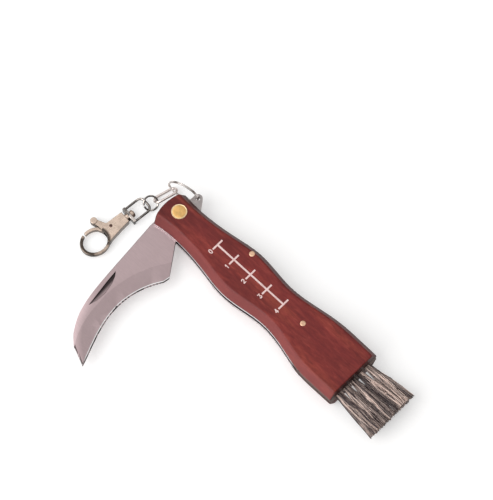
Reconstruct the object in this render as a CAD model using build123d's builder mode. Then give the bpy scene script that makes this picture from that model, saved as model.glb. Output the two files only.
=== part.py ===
"""A folding mushroom knife with a ruler, a bristle brush and a trigger snap on a short chain.

The frame: the origin is where the blade's pivot axis meets the resting plane, +X runs along the
handle to the brush, +Y points to the spring side and +Z points up. All sizes are in millimetres.
"""

import os
from math import atan2, cos, degrees, hypot, pi, radians, sin, sqrt

from build123d import *

os.makedirs("parts", exist_ok=True)

# The layers of the handle, from the resting face up
scale_thickness = 5.0
liner_thickness = 1.0
slot_width = 2.5
back_liner_base = scale_thickness
slot_base = back_liner_base + liner_thickness
front_liner_base = slot_base + slot_width
front_scale_base = front_liner_base + liner_thickness
top_face = front_scale_base + scale_thickness
mid_height = top_face / 2

# The handle's outline: the two long sides from the head to the brush, and the rounded head
handle_end = 107.3
slot_side = [
    (-5.4, -10.4),
    (8.6, -9.3),
    (24.0, -10.9),
    (40.0, -13.1),
    (61.0, -11.0),
    (75.0, -12.9),
    (86.0, -15.5),
    (96.0, -16.1),
    (handle_end, -16.1),
]
spring_side = [
    (-4.8, 8.8),
    (8.6, 8.2),
    (23.0, 9.7),
    (39.0, 11.7),
    (60.0, 9.8),
    (75.0, 11.5),
    (86.0, 12.9),
    (96.0, 13.1),
    (handle_end, 12.9),
]
head_arc_centre = (13.85, -1.39)
head_arc_radius = 21.25
bevel_inset = 2.7
scale_land = 0.8

# The pins, with their fits
pivot_radius = 2.0
pivot_head_radius = 3.6
pivot_head_depth = 1.0
pivot_head_stand = 0.2
pivot_head_chamfer = 0.14
pivot_clearance = 0.05
pin_radius = 1.3
pin_fit = 0.02
middle_pin_place = (36.7, 8.0)
rear_pin_place = (75.2, 0.1)
brush_pin_place = (91.5, -1.6)
brush_pin_radius = 0.9

# The blade, drawn where it lies part of the way open, pointing to -Y
blade_thickness = 2.0
blade_base = mid_height - blade_thickness / 2
tang_radius = 6.4
edge_thickness = 0.06
secondary_thickness = 0.5
blade_back = [
    (-6.4, 0.0),
    (-6.35, -12.0),
    (-5.2, -24.0),
    (-3.2, -45.0),
    (-1.9, -54.0),
    (2.0, -66.0),
    (9.3, -75.0),
]
blade_point = (18.8, -79.1)
cutting_edge = [
    blade_point,
    (16.08, -71.9),
    (11.89, -59.93),
    (10.1, -48.0),
    (11.99, -36.09),
    (16.57, -26.73),
]
secondary_shoulder = [
    (18.1, -78.7),
    (15.42, -72.14),
    (11.21, -60.1),
    (9.4, -48.0),
    (11.32, -35.89),
    (15.94, -26.42),
]
grind_shoulder = [
    (9.9, -75.24),
    (4.9, -65.0),
    (3.0, -55.0),
    (2.7, -45.0),
    (4.6, -34.0),
    (9.6, -22.4),
]
secondary_heel_share = 0.05
shoulder_heel_share = 0.45
heel_corner = (17.1, -23.7)
ricasso_corner = (7.3, -9.8)
tang_side = (6.38, -0.6)
nick_outline = [
    (-2.2, -37.4),
    (-0.6, -39.4),
    (0.95, -42.9),
    (1.9, -48.0),
    (1.8, -52.7),
    (0.8, -57.4),
    (-0.3, -50.1),
    (-1.25, -43.9),
]
nick_depth = 0.5
nick_floor_place = (-0.85, -47.0)
nick_slope = 10
nick_heading = 3
washer_thickness = 0.2
washer_radius = 5.4

# The spring that runs along the back of the slot, with the lug that holds the ring
spring_inner_edge = [
    (-9.0, 7.75),
    (0.8, 6.8),
    (4.9, 5.9),
    (7.8, 5.3),
    (11.6, 4.7),
    (17.6, 6.4),
    (24.6, 8.6),
    (27.8, 9.1),
    (30.6, 8.5),
    (33.6, 6.6),
    (37.0, 5.9),
    (61.0, 5.2),
    (68.0, 0.6),
    (71.0, -2.2),
    (85.4, -2.2),
]
spring_blank_side = 20.0
lug_hole_place = (-0.2, 12.0)
lug_hole_radius = 1.05
lug_radius = 2.05
lug_flank = [(-2.25, 12.0), (-2.25, 7.6), (5.4, 7.6), (4.6, 8.8), (1.3, 13.4)]

# The ruler on the front face: one long line, ticks and plain numbers
ruler_start = 23.0
ruler_pitch = 10.0
ruler_marks = 5
ruler_line_place = 0.5
ruler_stroke = 0.8
ruler_tick_reach = 3.0
ruler_ink = 0.08
digit_place = -3.85
digit_stroke = 0.45
digit_height = 1.9
digit_width = 1.1
digit_corners = {
    1: [(-0.7, 0.6), (0.0, 1.0), (0.0, -1.0)],
    2: [(-0.9, 0.6), (-0.4, 1.0), (0.5, 1.0), (0.9, 0.5), (0.6, 0.0), (-0.9, -1.0), (1.0, -1.0)],
    3: [(-0.9, 1.0), (0.8, 1.0), (-0.1, 0.2), (1.0, -0.4), (0.5, -1.0), (-0.4, -1.0), (-0.9, -0.7)],
    4: [(0.4, -1.0), (0.4, 1.0), (-1.0, -0.4), (1.0, -0.4)],
}

# The brush: a block between the liners, five tufts with their staples
block_start = 86.0
block_inset = 0.25
block_reach = 20.0
tuft_count = 5
tuft_root_side = (-13.0, 9.3)
tuft_tip_side = (-14.4, 11.0)
tuft_hole_depth = 9.0
tuft_hole_width = 3.9
tuft_hole_height = 1.9
knot_depth = 1.4
knot_gap = 0.03
strand_columns = 10
strand_rows = 7
strand_radius = 0.15
strand_root_width = 3.28
strand_root_height = 1.62
strand_middle_height = 3.9
strand_tip_width = 4.83
strand_tip_height = 5.6
strand_wave = 0.3
strand_unevenness = 0.5
strand_uneven_turns = (5.1, 3.7)
bristle_tip = 131.3
staple_width = 3.1
staple_thickness = 0.6

# The split ring, on edge through the lug's hole
ring_radius = 7.3
ring_width = 1.0
ring_depth = 0.8
ring_heading = radians(195.7)
ring_height = 7.8
ring_turn_groove = 0.12
ring_cuts = ((1, 20), (-1, 52))
ring_cut_width = 0.3
ring_cut_skin = 0.02

# The oval link and the jump ring
link_wire = 0.62
link_side = 2.3
link_half = 3.16
link_plane = Plane(origin=(-13.28, 4.79, 2.37), x_dir=(0.276, 0.959, 0.068), z_dir=(-0.595, 0.115, 0.796))
jump_wire = 0.42
jump_radius = 3.2
jump_tilt = radians(28)
jump_heading = radians(338)
jump_gap = 8.0
jump_place = (-15.42, -2.3)
floor_gap = 0.03

# The snap, drawn in its own plane: x towards the hook, y towards the handle
snap_heading = radians(-95.7)
snap_height = 2.0
snap_plane = Plane(
    origin=(-17.99, -14.3, snap_height),
    x_dir=(cos(snap_heading), sin(snap_heading), 0),
    z_dir=(0, 0, 1),
)
bail_wire = 0.55
bail_half_width = 3.65
bail_reach = -10.8
bail_corner = 2.3
bail_bar = (-1.7, -0.35)
stem_radius = 0.95
stem_clearance = 0.05
stem_head_radius = 1.75
stem_head_end = -3.6
stem_head_chamfer = 0.5
bail_bar_round = 0.4
bore_overrun = 1.0
stem_gap = 0.1
stem_socket = 1.8
collar_radius = 1.9
collar_end = 1.0
hook_centre = (18.3, -0.1)
hook_outer = (7.1, 6.3)
hook_inner = (5.7, 4.9)
hook_half_depth = 1.0
snap_outline = [
    (0.9, -3.2),
    (9.0, -3.4),
    (12.2, -2.7),
    (14.6, 0.0),
    (14.2, 4.8),
    (11.5, 3.9),
    (5.0, 2.8),
    (0.9, 2.3),
]
gate_cut = [(21.2, -9.0), (6.0, -9.0), (6.0, -2.9), (12.4, -1.6), (20.3, -4.0)]
trigger_slot_half = 1.2
trigger_half = 1.1
trigger_slot = [(6.6, -6.0), (16.0, -6.0), (16.0, 1.2), (9.6, 1.2), (6.4, 0.4)]
rivet_place = (8.6, -1.1)
rivet_radius = 0.75
rivet_clearance = 0.05
hub_radius = 2.2
hub_space = 0.3
gate_end = 19.6
gate_band = [(9.5, -1.6), (12.6, -1.0), (gate_end, -3.4), (gate_end, -7.0), (11.0, -6.0)]
lever_outline = [
    (7.3, -2.8),
    (9.3, -3.9),
    (11.2, -7.6),
    (13.7, -7.0),
    (13.1, -4.7),
    (14.5, -4.2),
    (13.3, -1.9),
    (9.6, -0.2),
]
thumb_place = (12.6, -8.1)
thumb_radius = 1.55
thumb_half = 1.5
spring_leaf = [(2.5, -1.9), (2.5, -1.5), (5.9, -0.9), (6.05, -1.25)]
spring_pocket = [(2.5, -2.1), (2.5, -0.3), (6.8, -0.3), (6.8, -2.1)]
leaf_half = 1.0


def save(piece, name):
    """Label a finished piece and write it out."""
    piece.part.label = name
    export_step(piece.part, f"parts/{name}.step")


def head_edge(across):
    """Where the rounded head ends along the handle, at a place across it."""
    return head_arc_centre[0] - sqrt(head_arc_radius**2 - (across - head_arc_centre[1]) ** 2)


def handle_outline(height, inset=0.0):
    """The handle's outline at a height, with its long sides drawn in by the inset."""
    low = [(along, across + inset) for along, across in slot_side]
    high = [(along, across - inset) for along, across in spring_side]
    low[0] = (head_edge(low[0][1]), low[0][1])
    high[0] = (head_edge(high[0][1]), high[0][1])
    head_middle = (head_edge(head_arc_centre[1]), head_arc_centre[1])
    with BuildSketch(Plane.XY.offset(height)) as outline:
        with BuildLine():
            Spline(low)
            Line(low[-1], high[-1])
            Spline(high[::-1])
            ThreePointArc(high[0], head_middle, low[0])
        make_face()
    return outline.sketch


def closed_shape(points, plane):
    """A flat face with straight sides through the points."""
    with BuildSketch(plane) as shape:
        with BuildLine():
            Polyline(*points, close=True)
        make_face()
    return shape.sketch


# The two wooden scales, each with a bevel along its long sides
with BuildPart() as front_scale:
    extrude(handle_outline(front_scale_base), amount=scale_land)
    land_top = front_scale_base + scale_land
    loft([handle_outline(land_top), handle_outline(top_face, bevel_inset)], ruled=True)
    with Locations((0, 0, top_face)):
        CounterBoreHole(pivot_radius + pin_fit, pivot_head_radius + pin_fit, pivot_head_depth)
    with Locations((*middle_pin_place, top_face), (*rear_pin_place, top_face)):
        Hole(pin_radius + pin_fit)
save(front_scale, "front_scale")

with BuildPart() as back_scale:
    mirror(front_scale.part, about=Plane.XY.offset(mid_height))
save(back_scale, "back_scale")

# The two steel liners
for liner_name, liner_base in (("front_liner", front_liner_base), ("back_liner", back_liner_base)):
    with BuildPart() as liner:
        extrude(handle_outline(liner_base), amount=liner_thickness)
        with Locations((0, 0, liner_base + liner_thickness)):
            Hole(pivot_radius + pin_fit)
        with Locations((*middle_pin_place, liner_base), (*rear_pin_place, liner_base)):
            Hole(pin_radius + pin_fit)
        with Locations((*brush_pin_place, liner_base)):
            Hole(brush_pin_radius + pin_fit)
    save(liner, liner_name)

# The spring between the liners, thin beside the blade's heel, and its lug at the head
with BuildPart() as back_spring:
    spring_plane = Plane.XY.offset(slot_base)
    with BuildSketch(spring_plane):
        with BuildLine():
            spring_edge = Spline(spring_inner_edge[1:-2])
            Line(spring_inner_edge[0], spring_edge @ 0)
            Polyline(
                spring_edge @ 1,
                *spring_inner_edge[-2:],
                (spring_inner_edge[-1][0], spring_blank_side),
                (spring_inner_edge[0][0], spring_blank_side),
                spring_inner_edge[0],
            )
        make_face()
    extrude(amount=slot_width)
    extrude(handle_outline(slot_base), amount=slot_width, mode=Mode.INTERSECT)
    extrude(closed_shape(lug_flank, spring_plane), amount=slot_width)
    with BuildSketch(spring_plane):
        with Locations(lug_hole_place):
            Circle(lug_radius)
    extrude(amount=slot_width)
    with Locations((*lug_hole_place, slot_base)):
        Hole(lug_hole_radius)
    with Locations((*middle_pin_place, slot_base), (*rear_pin_place, slot_base)):
        Hole(pin_radius + pin_fit)
save(back_spring, "back_spring")

# The pivot pin with a broad head at each end, and its two washers
with BuildPart() as pivot_pin:
    with BuildSketch():
        Circle(pivot_head_radius)
    extrude(amount=pivot_head_depth)
    with BuildSketch():
        Circle(pivot_radius)
    extrude(amount=top_face)
    with BuildSketch(Plane.XY.offset(top_face - pivot_head_depth)):
        Circle(pivot_head_radius)
    extrude(amount=pivot_head_depth + pivot_head_stand)
    head_rim = pivot_pin.faces().sort_by(Axis.Z)[-1].edges()
    chamfer(head_rim, length=pivot_head_chamfer)
save(pivot_pin, "pivot_pin")

with BuildPart() as pivot_washers:
    for washer_base in (slot_base, front_liner_base - washer_thickness):
        with BuildSketch(Plane.XY.offset(washer_base)):
            Circle(washer_radius)
            Circle(pivot_radius + pivot_clearance, mode=Mode.SUBTRACT)
        extrude(amount=washer_thickness)
save(pivot_washers, "pivot_washers")

# The two small pins through the whole handle, and the short one that holds the brush block
for pin_name, pin_place in (("middle_pin", middle_pin_place), ("rear_pin", rear_pin_place)):
    with BuildPart() as pin:
        with BuildSketch():
            with Locations(pin_place):
                Circle(pin_radius)
        extrude(amount=top_face)
    save(pin, pin_name)

with BuildPart() as brush_pin:
    with BuildSketch(Plane.XY.offset(back_liner_base)):
        with Locations(brush_pin_place):
            Circle(brush_pin_radius)
    extrude(amount=slot_width + 2 * liner_thickness)
save(brush_pin, "brush_pin")


def blade_face(height, front, heel_share):
    """The blade's outline at a height, with its own front and its heel drawn back along the ricasso."""
    low_heel = tuple(a + heel_share * (b - a) for a, b in zip(heel_corner, ricasso_corner))
    with BuildSketch(Plane.XY.offset(height)) as outline:
        with BuildLine():
            back = Spline(blade_back[1:])
            Line(blade_back[0], back @ 0)
            Line(back @ 1, front[0])
            edge = Spline(front)
            Line(edge @ 1, low_heel)
            Line(low_heel, ricasso_corner)
            Line(ricasso_corner, tang_side)
            Line(tang_side, blade_back[0])
        make_face()
    return outline.sketch


# The blade: a round tang, a hollow belly, a grind from its shoulder, and a narrow bevel at the edge
blade_levels = [
    (blade_thickness / 2, grind_shoulder, shoulder_heel_share),
    (secondary_thickness / 2, secondary_shoulder, secondary_heel_share),
    (edge_thickness / 2, cutting_edge, 0.0),
]
with BuildPart() as blade:
    extrude(blade_face(mid_height - edge_thickness / 2, cutting_edge, 0.0), amount=edge_thickness)
    for side in (-1, 1):
        for outer, inner in zip(blade_levels, blade_levels[1:]):
            for rise, front, share in (outer, inner):
                add(blade_face(mid_height + side * rise, front, share))
            loft(ruled=True)
    with BuildSketch(Plane.XY.offset(blade_base)):
        Circle(tang_radius)
    extrude(amount=blade_thickness)
    blade_top = blade_base + blade_thickness
    with Locations((0, 0, blade_top)):
        Hole(pivot_radius + pivot_clearance)
    with BuildPart(mode=Mode.SUBTRACT):
        extrude(closed_shape(nick_outline, Plane.XY.offset(blade_base)), amount=blade_thickness)
        nick_rise = sin(radians(nick_slope))
        nick_floor = Plane(
            origin=(*nick_floor_place, blade_top - nick_depth),
            z_dir=(
                -nick_rise * cos(radians(nick_heading)),
                -nick_rise * sin(radians(nick_heading)),
                cos(radians(nick_slope)),
            ),
        )
        split(bisect_by=nick_floor, keep=Keep.TOP)
save(blade, "blade")


def digit_face(number, plane):
    """One plain numeral, drawn with rounded strokes inside its height and width."""
    with BuildSketch(plane) as digit:
        if number == 0:
            Ellipse((digit_width + digit_stroke) / 2, (digit_height + digit_stroke) / 2)
            Ellipse((digit_width - digit_stroke) / 2, (digit_height - digit_stroke) / 2, mode=Mode.SUBTRACT)
        else:
            corners = [(x * digit_width / 2, y * digit_height / 2) for x, y in digit_corners[number]]
            for start, finish in zip(corners, corners[1:]):
                rise = (finish[0] - start[0], finish[1] - start[1])
                turn = degrees(atan2(rise[1], rise[0]))
                with Locations(((start[0] + finish[0]) / 2, (start[1] + finish[1]) / 2)):
                    SlotCenterToCenter(hypot(*rise), digit_stroke, rotation=turn)
    return digit.sketch


# The ruler: ink that stands a little proud of the front face
with BuildPart() as ruler_inlay:
    ink_plane = Plane.XY.offset(top_face)
    ruler_length = ruler_pitch * (ruler_marks - 1)
    ruler_middle = ruler_start + ruler_length / 2
    with BuildSketch(ink_plane):
        with Locations((ruler_middle, ruler_line_place)):
            Rectangle(ruler_length, ruler_stroke)
        for mark in range(ruler_marks):
            with Locations((ruler_start + mark * ruler_pitch, ruler_line_place)):
                Rectangle(ruler_stroke, 2 * ruler_tick_reach)
    extrude(amount=ruler_ink)
    for mark in range(ruler_marks):
        digit_plane = Plane(
            origin=(ruler_start + mark * ruler_pitch, digit_place, top_face),
            x_dir=(0, 1, 0),
            z_dir=(0, 0, 1),
        )
        extrude(digit_face(mark, digit_plane), amount=ruler_ink)
save(ruler_inlay, "ruler_inlay")


def tuft_middle(number, side):
    """The middle of one tuft across the handle, at its root or at its tip."""
    pitch = (side[1] - side[0]) / tuft_count
    return side[0] + pitch * (number + 0.5)


# The block that holds the brush, with a flat hole for each tuft
with BuildPart() as brush_block:
    extrude(handle_outline(slot_base, block_inset), amount=slot_width)
    with BuildSketch(Plane.XY.offset(slot_base)):
        with Locations(((block_start + handle_end) / 2, 0)):
            Rectangle(handle_end - block_start, 2 * block_reach)
    extrude(amount=slot_width, mode=Mode.INTERSECT)
    with BuildSketch(Plane(origin=(handle_end, 0, mid_height), x_dir=(0, 1, 0), z_dir=(1, 0, 0))):
        for number in range(tuft_count):
            with Locations((tuft_middle(number, tuft_root_side), 0)):
                SlotOverall(tuft_hole_width, tuft_hole_height)
    extrude(amount=-tuft_hole_depth, mode=Mode.SUBTRACT)
    with Locations((*brush_pin_place, slot_base)):
        Hole(brush_pin_radius + pin_fit)
save(brush_block, "brush_block")

# The flat staples that hold the tufts in their holes
with BuildPart() as tuft_staples:
    staple_start = handle_end - tuft_hole_depth
    with BuildSketch(Plane(origin=(staple_start, 0, mid_height), x_dir=(0, 1, 0), z_dir=(1, 0, 0))):
        for number in range(tuft_count):
            with Locations((tuft_middle(number, tuft_root_side), 0)):
                Rectangle(staple_width, staple_thickness)
    extrude(amount=tuft_hole_depth - knot_depth - 2 * knot_gap)
save(tuft_staples, "tuft_staples")


def strand(number, column, row):
    """One bristle of a tuft: three sides through its root, its middle and its tip, with no twist."""
    column_part = (column + 0.5) / strand_columns - 0.5
    row_part = (row + 0.5) / strand_rows - 0.5
    root_middle = tuft_middle(number, tuft_root_side)
    tip_middle = tuft_middle(number, tuft_tip_side)
    uneven_turn = strand_uneven_turns[0] * column + strand_uneven_turns[1] * row + number
    uneven = strand_unevenness * sin(uneven_turn)
    strand_middle_width = (strand_root_width + strand_tip_width) / 2
    cuts = []
    for along, width, height, bend in (
        (handle_end - knot_depth / 2, strand_root_width, strand_root_height, 0.0),
        ((handle_end + bristle_tip) / 2, strand_middle_width, strand_middle_height, strand_wave),
        (bristle_tip - strand_unevenness + uneven, strand_tip_width, strand_tip_height, -strand_wave),
    ):
        share = (along - handle_end) / (bristle_tip - handle_end)
        across = root_middle + share * (tip_middle - root_middle + bend) + column_part * width
        up = mid_height + row_part * height
        with BuildSketch(Plane(origin=(along, across, up), x_dir=(0, 1, 0), z_dir=(1, 0, 0))) as cut:
            RegularPolygon(strand_radius, 3, rotation=90)
        cuts.append(cut.sketch)
    return loft(cuts, ruled=True)


def tuft_places():
    """The columns and rows that hold a bristle: the outer columns are a row shorter at each end."""
    places = []
    for column in range(strand_columns):
        short = 1 if column in (0, strand_columns - 1) else 0
        for row in range(short, strand_rows - short):
            places.append((column, row))
    return places


# The five tufts: each is its bristles, fused to the knot that sits in the block's mouth
for number in range(tuft_count):
    bristles = [strand(number, column, row) for column, row in tuft_places()]
    with BuildPart() as tuft:
        with BuildSketch(Plane(origin=(handle_end, 0, mid_height), x_dir=(0, 1, 0), z_dir=(1, 0, 0))):
            with Locations((tuft_middle(number, tuft_root_side), 0)):
                SlotOverall(tuft_hole_width - 2 * knot_gap, tuft_hole_height - 2 * knot_gap)
        extrude(amount=-knot_depth)
        add(bristles)
    save(tuft, f"bristle_tuft_{number + 1}")

# The split ring: two flat turns side by side, with a groove between them and the ends as steps
ring_middle = (
    lug_hole_place[0] + ring_radius * cos(ring_heading),
    lug_hole_place[1] + ring_radius * sin(ring_heading),
    ring_height,
)
ring_plane = Plane(
    origin=ring_middle,
    x_dir=(cos(ring_heading), sin(ring_heading), 0),
    z_dir=(-sin(ring_heading), cos(ring_heading), 0),
)
with BuildPart() as split_ring:
    with BuildSketch(ring_plane):
        Circle(ring_radius + ring_depth / 2)
        Circle(ring_radius - ring_depth / 2, mode=Mode.SUBTRACT)
    extrude(amount=ring_width / 2, both=True)
    with BuildSketch(ring_plane):
        Circle(ring_radius + ring_depth)
        Circle(ring_radius + ring_depth / 2 - ring_turn_groove, mode=Mode.SUBTRACT)
    extrude(amount=ring_turn_groove / 2, both=True, mode=Mode.SUBTRACT)
    for end_side, end_turn in ring_cuts:
        end_plane = ring_plane.offset(end_side * ring_width / 4)
        with BuildSketch(end_plane):
            with PolarLocations(ring_radius, 1, start_angle=end_turn):
                Rectangle(2 * ring_depth, ring_cut_width)
        extrude(amount=ring_width / 4 - ring_cut_skin, both=True, mode=Mode.SUBTRACT)
save(split_ring, "split_ring")

# The oval link: one round wire along two straight sides and two half turns
with BuildPart() as oval_link:
    with BuildLine(link_plane) as link_path:
        Line((-link_half, link_side), (link_half, link_side))
        ThreePointArc((link_half, link_side), (link_half + link_side, 0), (link_half, -link_side))
        Line((link_half, -link_side), (-link_half, -link_side))
        ThreePointArc((-link_half, -link_side), (-link_half - link_side, 0), (-link_half, link_side))
    with BuildSketch(Plane(origin=link_path.line @ 0, z_dir=link_path.line % 0)):
        Circle(link_wire)
    sweep()
save(oval_link, "oval_link")

# The jump ring: a round wire with a small cut
jump_plane = Plane(
    origin=(*jump_place, jump_radius * sin(jump_tilt) + jump_wire + floor_gap),
    z_dir=(sin(jump_tilt) * cos(jump_heading), sin(jump_tilt) * sin(jump_heading), cos(jump_tilt)),
)
with BuildPart() as jump_ring:
    with BuildLine(jump_plane) as jump_path:
        CenterArc((0, 0), jump_radius, jump_gap / 2, 360 - jump_gap)
    with BuildSketch(Plane(origin=jump_path.line @ 0, z_dir=jump_path.line % 0)):
        Circle(jump_wire)
    sweep()
save(jump_ring, "jump_ring")

# The swivel's bail: a bent wire and the bar that the stem turns in
bar_middle = (bail_bar[0] + bail_bar[1]) / 2
with BuildPart() as swivel_bail:
    with BuildLine(snap_plane) as bail_path:
        FilletPolyline(
            (bar_middle, -bail_half_width),
            (bail_reach, -bail_half_width),
            (bail_reach, bail_half_width),
            (bar_middle, bail_half_width),
            radius=bail_corner,
        )
    with BuildSketch(Plane(origin=bail_path.line @ 0, z_dir=bail_path.line % 0)):
        Circle(bail_wire)
    sweep()
    with BuildSketch(snap_plane.offset(-stem_head_radius)):
        with Locations((bar_middle, 0)):
            RectangleRounded(bail_bar[1] - bail_bar[0], 2 * (bail_half_width + bail_wire), bail_bar_round)
    extrude(amount=2 * stem_head_radius)
    stem_axis_plane = Plane(origin=snap_plane.origin, x_dir=snap_plane.y_dir, z_dir=snap_plane.x_dir)
    with BuildSketch(stem_axis_plane.offset(bail_bar[0] - bore_overrun)):
        Circle(stem_radius + stem_clearance)
    extrude(amount=bail_bar[1] - bail_bar[0] + 2 * bore_overrun, mode=Mode.SUBTRACT)
save(swivel_bail, "swivel_bail")

# The swivel's stem: a head inside the bail and a shank that is fixed in the snap's body
with BuildPart() as swivel_stem:
    with BuildSketch(stem_axis_plane.offset(stem_head_end)):
        Circle(stem_head_radius)
    extrude(amount=bail_bar[0] - stem_gap - stem_head_end)
    stem_axis = Axis(snap_plane.origin, snap_plane.x_dir)
    chamfer(swivel_stem.faces().sort_by(stem_axis)[0].edges(), length=stem_head_chamfer)
    with BuildSketch(stem_axis_plane.offset(bail_bar[0] - stem_gap)):
        Circle(stem_radius)
    extrude(amount=stem_gap - bail_bar[0] + stem_socket)
save(swivel_stem, "swivel_stem")


def snap_block(points, half):
    """A flat block of the snap, as thick on both sides of its middle plane."""
    return extrude(closed_shape(points, snap_plane), amount=half, both=True)


# The snap's body: a collar, two cheeks round the trigger's slot, and the open hook
body_block = snap_block(snap_outline, snap_height)
gate_space = snap_block(gate_cut, snap_height)
slot_space = snap_block(trigger_slot, trigger_slot_half)
pocket_space = snap_block(spring_pocket, trigger_slot_half)
with BuildPart() as snap_hook:
    with BuildSketch(snap_plane):
        with Locations(hook_centre):
            Ellipse(*hook_outer)
    extrude(amount=hook_half_depth, both=True)
    add(gate_space, mode=Mode.SUBTRACT)
    add(body_block)
    with BuildSketch(snap_plane):
        with Locations(hook_centre):
            Ellipse(*hook_inner)
    extrude(amount=snap_height, both=True, mode=Mode.SUBTRACT)
    with BuildSketch(stem_axis_plane.offset(bail_bar[1] + stem_gap)):
        Circle(collar_radius)
    extrude(amount=collar_end - bail_bar[1] - stem_gap)
    add([slot_space, pocket_space], mode=Mode.SUBTRACT)
    with BuildSketch(snap_plane):
        with Locations(rivet_place):
            Circle(hub_radius + hub_space)
    extrude(amount=trigger_slot_half, both=True, mode=Mode.SUBTRACT)
    with BuildSketch(snap_plane):
        with Locations(rivet_place):
            Circle(rivet_radius + pin_fit)
    extrude(amount=snap_height, both=True, mode=Mode.SUBTRACT)
    with BuildSketch(stem_axis_plane.offset(bail_bar[1])):
        Circle(stem_radius)
    extrude(amount=stem_socket - bail_bar[1], mode=Mode.SUBTRACT)
save(snap_hook, "snap_hook")

# The trigger: a hub on its rivet, the gate that closes the hook, and the thumb lever
lever_block = snap_block(lever_outline, trigger_half)
gate_block = snap_block(gate_band, trigger_half)
with BuildPart() as snap_trigger:
    with BuildSketch(snap_plane):
        with Locations(hook_centre):
            Ellipse(*hook_outer)
            Ellipse(*hook_inner, mode=Mode.SUBTRACT)
    extrude(amount=trigger_half, both=True)
    add(gate_block, mode=Mode.INTERSECT)
    add(lever_block)
    with BuildSketch(snap_plane):
        with Locations(rivet_place):
            Circle(hub_radius)
    extrude(amount=trigger_half, both=True)
    with BuildSketch(snap_plane):
        with Locations(thumb_place):
            Circle(thumb_radius)
    extrude(amount=thumb_half, both=True)
    with BuildSketch(snap_plane):
        with Locations(rivet_place):
            Circle(rivet_radius + rivet_clearance)
    extrude(amount=thumb_half, both=True, mode=Mode.SUBTRACT)
save(snap_trigger, "snap_trigger")

with BuildPart() as trigger_rivet:
    with BuildSketch(snap_plane):
        with Locations(rivet_place):
            Circle(rivet_radius)
    extrude(amount=snap_height, both=True)
save(trigger_rivet, "trigger_rivet")

# The leaf spring inside the snap's body that presses on the trigger's hub
leaf_block = snap_block(spring_leaf, leaf_half)
with BuildPart() as trigger_spring:
    add(leaf_block)
save(trigger_spring, "trigger_spring")

# Wire volumes beside their section times length, to show that each sweep is whole
link_length = 4 * link_half + 2 * pi * link_side
link_volume = pi * link_wire**2 * link_length
print("oval link volume", round(oval_link.part.volume, 2), "expected", round(link_volume, 2))
jump_length = 2 * pi * jump_radius * (360 - jump_gap) / 360
jump_volume = pi * jump_wire**2 * jump_length
print("jump ring volume", round(jump_ring.part.volume, 2), "expected", round(jump_volume, 2))
print("blade reach", round(hypot(*blade_point), 1))
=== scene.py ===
"""A folding mushroom knife, with the looks of each of its pieces, on a plain studio floor.

The wooden scales, the blade, the bail, the snap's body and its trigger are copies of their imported
solids with some edges rounded. The pins, the bristles, the chain, the snap's stem and its rivet
are modelled anew in the place of theirs. The liners, the spring, the washers, the ruler, the
brush's block and the small hidden pieces keep their solids and only get their looks. Lengths
are in metres, and +X runs along the handle from the pivot to the brush.
"""

import math
import random

import bpy
from mathutils import Matrix, Vector


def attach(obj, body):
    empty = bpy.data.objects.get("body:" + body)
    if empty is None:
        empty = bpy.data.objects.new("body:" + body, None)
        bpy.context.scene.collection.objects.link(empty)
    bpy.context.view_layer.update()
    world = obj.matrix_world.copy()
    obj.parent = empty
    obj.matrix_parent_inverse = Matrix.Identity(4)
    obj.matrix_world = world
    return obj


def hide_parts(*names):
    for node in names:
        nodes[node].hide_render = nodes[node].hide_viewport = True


bl_info = {
    "name": "Mushroom Knife",
    "version": (1, 0, 0),
    "blender": (4, 5, 0),
    "location": "3D View > Sidebar > Knife",
    "description": "Dresses a folding mushroom knife with a brush, a ruler and a trigger snap",
    "category": "Object",
}

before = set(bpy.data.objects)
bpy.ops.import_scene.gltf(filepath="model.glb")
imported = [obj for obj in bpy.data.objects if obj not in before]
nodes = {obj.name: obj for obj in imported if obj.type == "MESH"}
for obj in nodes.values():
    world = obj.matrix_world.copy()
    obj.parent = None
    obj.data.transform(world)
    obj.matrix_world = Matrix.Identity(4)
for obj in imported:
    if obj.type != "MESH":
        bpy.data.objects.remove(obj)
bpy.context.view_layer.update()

MM = 0.001

# The handle: its pins, the height of its middle, and the scales' faces on the liners
MIDDLE_PIN = Vector((36.7, 8.0, 0)) * MM
REAR_PIN = Vector((75.2, 0.1, 0)) * MM
MID_HEIGHT = 7.25 * MM
INNER_FACES = {"front": 9.5 * MM, "back": 5.0 * MM}

# Round a pin's hole, nothing nearer to its axis than this is rounded
PIVOT_CLEARING = 4.2 * MM
PIN_CLEARING = 1.9 * MM
BORE_CLEARING = 2.6 * MM
RIVET_CLEARING = 1.2 * MM

# An edge this near to a scale's inner face, or to an inner rim of the snap, lies on it
AT_A_FACE = 0.1 * MM
AT_A_RIM = 0.03 * MM

# Where the liners turn dark towards the brush, along X, and how uneven the dark end is
LINER_DARK_END = (84 * MM, 86 * MM)
LINER_DARK_UNEVEN = 2 * MM

# Where the wood darkens towards the head, along X
HEAD_SHADE = (-8 * MM, 14 * MM)

# Painted shade on the wood's spring side, from the middle: where it is weakest and where it is deepest
SPRING_SIDE_SHADE = (6.8 * MM, 4.4 * MM)

# The pivot's head: the lathe's pitch, and the bright rim's inner and outer edge
LATHE_PITCH = 0.28 * MM
RIM_INSIDE = (2.85 * MM, 3.05 * MM)
RIM_OUTSIDE = (3.7 * MM, 3.6 * MM)

# The blade: the arc of its back near the tip, with the light band beside it
BACK_ARC_CENTRE = Vector((30.99, -49.94, 7.25)) * MM
BACK_ARC_RADIUS = 33.14 * MM
BACK_BAND = (BACK_ARC_RADIUS - 3.6 * MM, BACK_ARC_RADIUS - 0.4 * MM)
BACK_BAND_START = (-50 * MM, -60 * MM)

# The blade: the two sides of the painted highlight along its edge, and the grind's reach, from the middle
EDGE_HIGHLIGHT_INSIDE = (0.16 * MM, 0.2 * MM)
EDGE_HIGHLIGHT_OUTSIDE = (0.285 * MM, 0.26 * MM)
GRIND_REACH = 0.95 * MM

# The blade: its edges are eased down to here, along Y
EASED_TO = -34 * MM
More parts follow.
